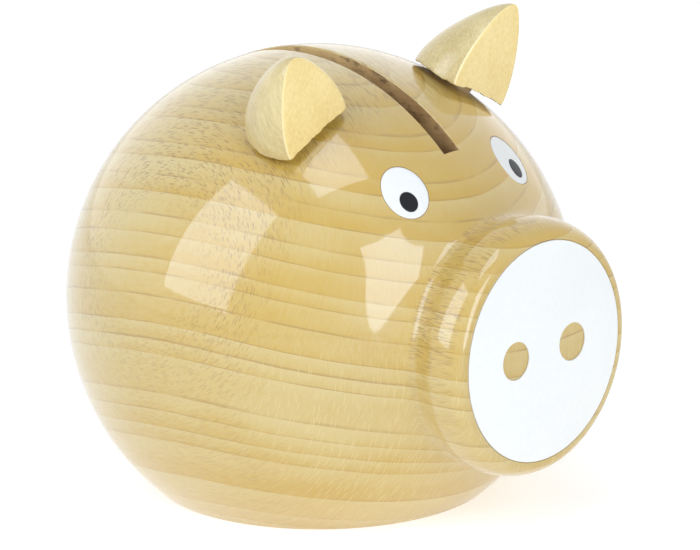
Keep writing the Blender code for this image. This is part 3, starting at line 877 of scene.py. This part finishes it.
def make_ear(side, wood):
    """A turned, sliced ear whose chipped foot is hollowed to the ball, with a hole for its dowel."""
    matrix = ear_frame(side)
    outwards = (matrix.translation - BALL_CENTRE).normalized()
    ahead = -matrix.to_3x3().col[1]
    ahead = (ahead - outwards * ahead.dot(outwards)).normalized()
    centre = np.array(matrix.inverted() @ (BALL_CENTRE + ahead * SADDLE_ROCK))
    saddle = BALL_RADIUS + SADDLE_CLEARANCE
    around, up_steps = 240, 110
    turn = np.arange(around) / around * 2 * pi
    low, high = np.full(around, -4 * MM), np.full(around, 9 * MM)
    for _ in range(40):
        middle = (low + high) / 2
        inside = np.linalg.norm(ear_wall(turn, middle) - centre, axis=1) < saddle
        low, high = np.where(inside, middle, low), np.where(inside, high, middle)
    foot = high + 0.05 * MM
    phase = 1.0 if side == "right" else 2.6
    chips = 0.11 * np.sin(5 * turn + phase) + 0.09 * np.sin(13 * turn + 2 * phase)
    chips += 0.06 * np.sin(29 * turn + 3 * phase) + 0.04 * np.sin(43 * turn)
    foot = foot + (0.26 + chips) * MM
    tip = EAR_TIP * 0.999
    round_off = 0.45 * MM
    rows = []
    for j in range(up_steps):
        share = j / (up_steps - 1)
        share = 1 - (1 - share) ** 1.35
        height = foot + round_off + (tip - foot - round_off) * share
        rows.append(ear_wall(turn, height))
    rows = rows[::-1]
    at_foot = ear_wall(turn, foot)
    hole = DOWEL_RADIUS + 0.2 * MM
    ring = np.stack([np.sin(turn) * hole, np.cos(turn) * hole], -1)

    def on_saddle(xy):
        rest = saddle**2 - ((xy - centre[:2]) ** 2).sum(-1)
        z = centre[2] + np.sqrt(rest)
        return np.concatenate([xy, z[:, None]], -1)

    lift = at_foot[:, 2] - on_saddle(at_foot[:, :2])[:, 2]

    def floor_at(share):
        here = on_saddle(at_foot[:, :2] * (1 - share) + ring * share)
        here[:, 2] += lift * (1 - share)
        return here

    inward = 0.07
    start, end = ear_wall(turn, foot + round_off), floor_at(inward)
    for s in range(1, 5):
        t = s / 5
        rows.append(start * (1 - t) ** 2 + at_foot * 2 * t * (1 - t) + end * t**2)
    for s in range(10):
        rows.append(floor_at(inward + (1 - inward) * s / 9))
    for s in range(1, 4):
        up = rows[-1].copy()
        up[:, 2] += (DOWEL_IN_EAR + 0.3 * MM - up[:, 2]) * s / 3
        rows.append(up)
    points = [matrix @ Vector(p) for row in rows for p in row]
    faces = [tuple(reversed(f)) for f in rows_to_faces(rows)]
    apex = matrix @ Vector(tuple(rows[0].mean(0) + np.array([0, 0, 0.06 * MM])))
    faces += [(len(points), (i + 1) % around, i) for i in range(around)]
    points.append(apex)
    last = (len(rows) - 1) * around
    faces.append(tuple(last + i for i in range(around)))
    add_piece(f"ear_{side}_turned", points, faces, (wood,), "bank", f"ear_{side}")


def make_dowel(side, wood):
    bevel = 0.6 * MM
    profile = [(0, DOWEL_IN_EAR), (DOWEL_RADIUS - bevel, DOWEL_IN_EAR),
               (DOWEL_RADIUS, DOWEL_IN_EAR - bevel), (DOWEL_RADIUS, -DOWEL_IN_BALL + bevel),
               (DOWEL_RADIUS - bevel, -DOWEL_IN_BALL), (0, -DOWEL_IN_BALL)]
    points, faces = lathe(profile, ear_frame(side), 48)
    add_piece(f"ear_dowel_{side}_turned", points, faces, (wood,), "bank", f"ear_dowel_{side}")


# ---------------------------------------------------------------- snout disc and eyes


def make_snout_disc(white):
    """A thin disc with two round holes, turned as a plain disc and carved."""
    face = aim((0, BALL_Y - SNOUT_LENGTH, AXIS_HEIGHT), (0, -1, 0), (1, 0, 0))
    thin = INLAY_DEPTH - 0.05 * MM
    profile = eased([(0, 0, 0), (DISC_RADIUS, 0, 1), (DISC_RADIUS, -thin, 0), (0, -thin, 0)], 0.1 * MM)
    points, faces = lathe(profile, face, 192)
    disc = add_piece("snout_disc_white", points, faces, (white,), "bank", "snout_disc")
    holes = []
    for sign in SIGNS.values():
        place = face @ Matrix.Translation((sign * NOSTRIL_X, 0, 0))
        lip = 0.08 * MM
        holes.append(lathe([(0, 2 * MM), (NOSTRIL_RADIUS + 2 * lip, 2 * MM),
                            (NOSTRIL_RADIUS + 2 * lip, lip), (NOSTRIL_RADIUS, -lip),
                            (NOSTRIL_RADIUS, -2 * MM), (0, -2 * MM)], place, 96))
    apply_cut(disc, join_cutters("cutter", holes, white.made))
    disc.data.shade_smooth()
    disc.data.set_sharp_from_angle(angle=radians(25))


def inlay(name, seat, outer, inner, inner_at, paint, node, rings):
    """A thin cap or ring on the turned skin, seen as a circle along the bore."""
    steps = 96
    axis = np.array(seat.to_3x3().col[2])
    thin = INLAY_DEPTH - 0.06 * MM
    turns = [2 * pi * i / steps for i in range(steps)]
    rows = []
    for j in range(rings + 1):
        share = j / rings
        row = []
        for turn in turns:
            rim = Vector((cos(turn), sin(turn), 0)) * outer
            core = Vector((cos(turn), sin(turn), 0)) * inner + Vector((0, inner_at, 0))
            row.append(tuple(seat @ (rim * (1 - share) + core * share)))
        rows.append(row)
    top = [on_skin(row, axis) for row in rows]
    sunk = 0.01 * MM
    normals = [skin_normals(row) for row in top]
    upper = [row - n * (sunk if 0 < j < rings or not inner else 0.05 * MM) for j, (row, n) in
             enumerate(zip(top, normals))]
    upper[0] = top[0] - normals[0] * 0.05 * MM
    lower = [row - n * thin for row, n in zip(top, normals)]
    points = [Vector(p) for row in upper for p in row] + [Vector(p) for row in lower for p in row]
    above = rows_to_faces(rows)
    start = (rings + 1) * steps
    below = [tuple(start + i for i in reversed(face)) for face in above]
    outer_wall = [(start + i, start + (i + 1) % steps, (i + 1) % steps, i) for i in range(steps)]
    last = rings * steps
    faces = above + below + outer_wall
    if inner:
        faces += [(last + i, last + (i + 1) % steps, start + last + (i + 1) % steps,
                   start + last + i) for i in range(steps)]
    piece = add_piece(name, points, faces, (paint,), "bank", node)
    mend(piece.data, merge=not inner)


def make_eye(side, white, black):
    seat = eye_seat(side)
    gap = 0.08 * MM
    inlay(f"eye_white_{side}_inlay", seat, EYE_RADIUS, PUPIL_RADIUS + gap, -PUPIL_DROP, white,
          f"eye_white_{side}", 12)
    inlay(f"pupil_{side}_inlay", eye_seat(side, PUPIL_DROP), PUPIL_RADIUS, 0, 0, black,
          f"pupil_{side}", 8)


# ---------------------------------------------------------------- base disc and stopper


def make_base_disc(wood):
    middle = Matrix.Translation((0, BALL_Y, 0))
    outer, top = (base_high.x - base_low.x) / 2, base_high.z
    soft = 0.5 * MM
    profile = eased([
        (COIN_HOLE_RADIUS, top, 1), (outer, top, 1), (outer, base_low.z, 1),
        (COUNTERBORE_RADIUS, base_low.z, 1), (COUNTERBORE_RADIUS, COUNTERBORE_DEPTH, 0),
        (COIN_HOLE_RADIUS, COUNTERBORE_DEPTH, 0.6)], soft)
    points, faces = lathe(profile + profile[:1], middle, 128)
    weld(add_piece("base_disc_turned", points, faces, (wood,), "bank", "base_disc"))


def weld(thing):
    mend(thing.data)
    thing.data.shade_smooth()
    thing.data.set_sharp_from_angle(angle=radians(35))


def make_stopper(paint):
    """A hollow plug under a flange, with two bites below that leave a bar to grip."""
    middle = Matrix.Translation((0, BALL_Y, 0))
    gap = 0.3 * MM
    top, bottom = stopper_high.z, stopper_low.z
    flange_top = COUNTERBORE_DEPTH - gap
    flange = (stopper_high.x - stopper_low.x) / 2
    plug = COIN_HOLE_RADIUS - gap
    wall, grip, depth, bar = 2.2 * MM, 10.0 * MM, 4.0 * MM, 3.0 * MM
    web = bottom + depth + wall
    bead = 0.25 * MM
    profile = eased([
        (0, web, 0), (plug - wall, web, 0.6), (plug - wall, top, 1), (plug - 0.8 * MM, top, 1),
        (plug, top - 1.2 * MM, 1), (plug - bead, top - 3.0 * MM, 1), (plug - bead, flange_top, 0.6),
        (flange, flange_top, 1), (flange, bottom, 1), (grip + 1.6 * MM, bottom, 0.6),
        (grip + 1.3 * MM, bottom + 0.25 * MM, 0.6), (grip + 0.7 * MM, bottom + 0.25 * MM, 0.6),
        (grip + 0.4 * MM, bottom, 0.6), (0, bottom, 0)], 0.35 * MM)
    points, faces = lathe(profile, middle, 128)
    stopper = add_piece("stopper_moulded", points, faces, (paint,), "stopper", "stopper")
    bites = []
    for sign in (-1, 1):
        edge = asin(bar / 2 / grip)
        outline = [Vector((sign * grip * cos(t), grip * sin(t), 0)) for t in
                   [(-pi / 2 + edge) + (pi - 2 * edge) * i / 40 for i in range(41)]]
        count = len(outline)
        shrink = [0.97, 1.0, 1.0, 1.0, 1.03]
        heights = [bottom + depth, bottom + depth - 0.4 * MM, bottom + 1.0 * MM, bottom + 0.5 * MM,
                   bottom - 1 * MM]
        levels = [[Vector((p.x * s, p.y * s + BALL_Y, z)) for p in outline]
                  for s, z in zip(shrink, heights)]
        some = [p for level in levels for p in level]
        quads = rows_to_faces(levels)
        quads.append(tuple(reversed(range(count))))
        quads.append(tuple((len(levels) - 1) * count + i for i in range(count)))
        bites.append((some, quads))
    cutter = join_cutters("cutter", bites, paint.made)
    weld(cutter)
    apply_cut(stopper, cutter)
    stopper.data.shade_smooth()
    stopper.data.set_sharp_from_angle(angle=radians(35))


# ---------------------------------------------------------------- everything


def main():
    add_camera()
    add_surroundings()
    lacquered = beech("lacquered_beech", (0.58, 0.440, 0.180), (0.495, 0.300, 0.036),
                      (0.28, 0.16, 0.045))
    bored = beech("bored_beech", (0.60, 0.44, 0.24), (0.48, 0.32, 0.16), (0.36, 0.22, 0.10), 0.75,
                  False)
    pale = pale_wood()
    scorched = scorched_wood()
    white = enamel("white_enamel", (0.83, 0.80, 0.725), (0.80, 0.772, 0.705), 0.35)
    black = enamel("black_enamel", (0.004, 0.005, 0.007), (0.008, 0.009, 0.012), 0.30)
    dark = rubber()
    make_body(lacquered, scorched, bored)
    make_snout_disc(white)
    for side in SIGNS:
        make_ear(side, pale)
        make_dowel(side, bored)
        make_eye(side, white, black)
    make_base_disc(bored)
    make_stopper(dark)


main()
